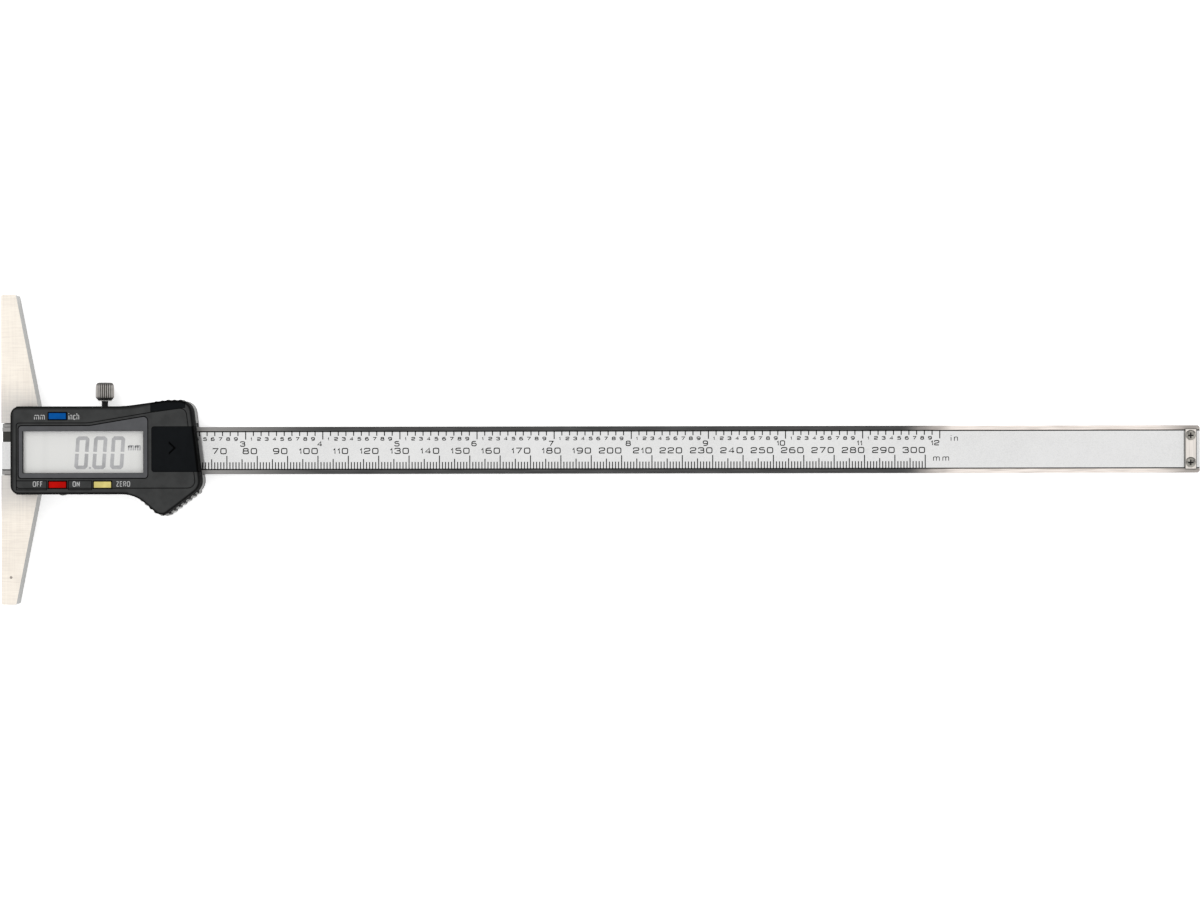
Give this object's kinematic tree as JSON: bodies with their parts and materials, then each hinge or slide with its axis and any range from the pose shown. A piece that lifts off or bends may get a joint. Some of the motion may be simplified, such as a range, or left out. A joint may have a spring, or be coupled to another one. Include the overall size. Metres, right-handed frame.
{
  "type": "digital depth gauge",
  "caption": "Digital depth gauge: slotted steel base and slider with an electronic display, and a long scale beam that drops below the measuring face.",
  "frame": {"origin": "middle of the base's measuring face, at the back plane that the gauge lies on", "axes": "+X along the beam away from the measuring face, +Y across the beam towards the lock screw, +Z out of the display"},
  "size_m": [0.3945, 0.102, 0.0156],
  "materials": {
    "base_steel": "ground, fine lines across",
    "frame_steel": "satin",
    "beam_steel": "ground along the beam",
    "gib_steel": "satin",
    "screw_steel": "turned",
    "plate_steel": "brushed",
    "knurled_steel": "knurled",
    "housing_plastic": "fine moulded grain",
    "cover_plastic": "smooth moulded",
    "window_plastic": "clear with a grey printed border",
    "lcd_glass": "polarised glass with grey figures",
    "holder_plastic": "moulded",
    "contact_rubber": "soft",
    "keypad_rubber": "soft",
    "circuit_board": "lacquered board",
    "chip_resin": "cast resin",
    "cell_steel": "pressed",
    "contact_brass": "sprung",
    "blue_button": "moulded",
    "red_button": "moulded",
    "yellow_button": "moulded",
    "label_silver": "fine grained print on silver film"
  },
  "bodies": {
    "slider": {"base": "base_steel", "base_screws": "screw_steel", "slider_frame": "frame_steel", "gib_strip": "gib_steel", "gib_screws": "screw_steel", "housing": "housing_plastic", "housing_screws": "screw_steel", "display_window": "window_plastic", "lcd_panel": "lcd_glass", "lcd_holder": "holder_plastic", "zebra_strip": "contact_rubber", "main_board": "circuit_board", "controller_chip": "chip_resin", "keypad_upper": "keypad_rubber", "keypad_lower": "keypad_rubber", "battery": "cell_steel", "battery_contact_positive": "contact_brass", "battery_contact_negative": "contact_brass", "port_contacts": "contact_brass"},
    "beam": {"beam": "beam_steel", "scale_board": "circuit_board", "scale_label": "label_silver", "stop_plate": "plate_steel", "stop_screws": "screw_steel"},
    "lock_screw": {"lock_screw": "knurled_steel"},
    "button_units": {"button_units": "blue_button"},
    "button_power": {"button_power": "red_button"},
    "button_zero": {"button_zero": "yellow_button"},
    "battery_cover": {"battery_cover": "cover_plastic"},
    "port_cover": {"port_cover": "cover_plastic"}
  },
  "joints": [
    {"name": "beam_slide", "type": "slide", "parent": "slider", "child": "beam", "axis": [-1, 0, 0], "range_m": [0, 0.32]},
    {"name": "lock_screw_turn", "type": "hinge", "parent": "slider", "child": "lock_screw", "pos_m": [0.03364, 0.0192, 0.00425], "axis": [0, 1, 0], "range_deg": [0, 270]},
    {"name": "button_units_press", "type": "slide", "parent": "slider", "child": "button_units", "axis": [0, 0, -1], "range_m": [0, 0.0004], "stiffness_N_per_m": 900, "springref_m": -0.0004},
    {"name": "button_power_press", "type": "slide", "parent": "slider", "child": "button_power", "axis": [0, 0, -1], "range_m": [0, 0.0004], "stiffness_N_per_m": 900, "springref_m": -0.0004},
    {"name": "button_zero_press", "type": "slide", "parent": "slider", "child": "button_zero", "axis": [0, 0, -1], "range_m": [0, 0.0004], "stiffness_N_per_m": 900, "springref_m": -0.0004},
    {"name": "battery_cover_slide", "type": "slide", "parent": "slider", "child": "battery_cover", "axis": [1, 0, 0], "range_m": [0, 0.017]},
    {"name": "port_cover_slide", "type": "slide", "parent": "slider", "child": "port_cover", "axis": [0, 1, 0], "range_m": [0, 0.006]}
  ]
}
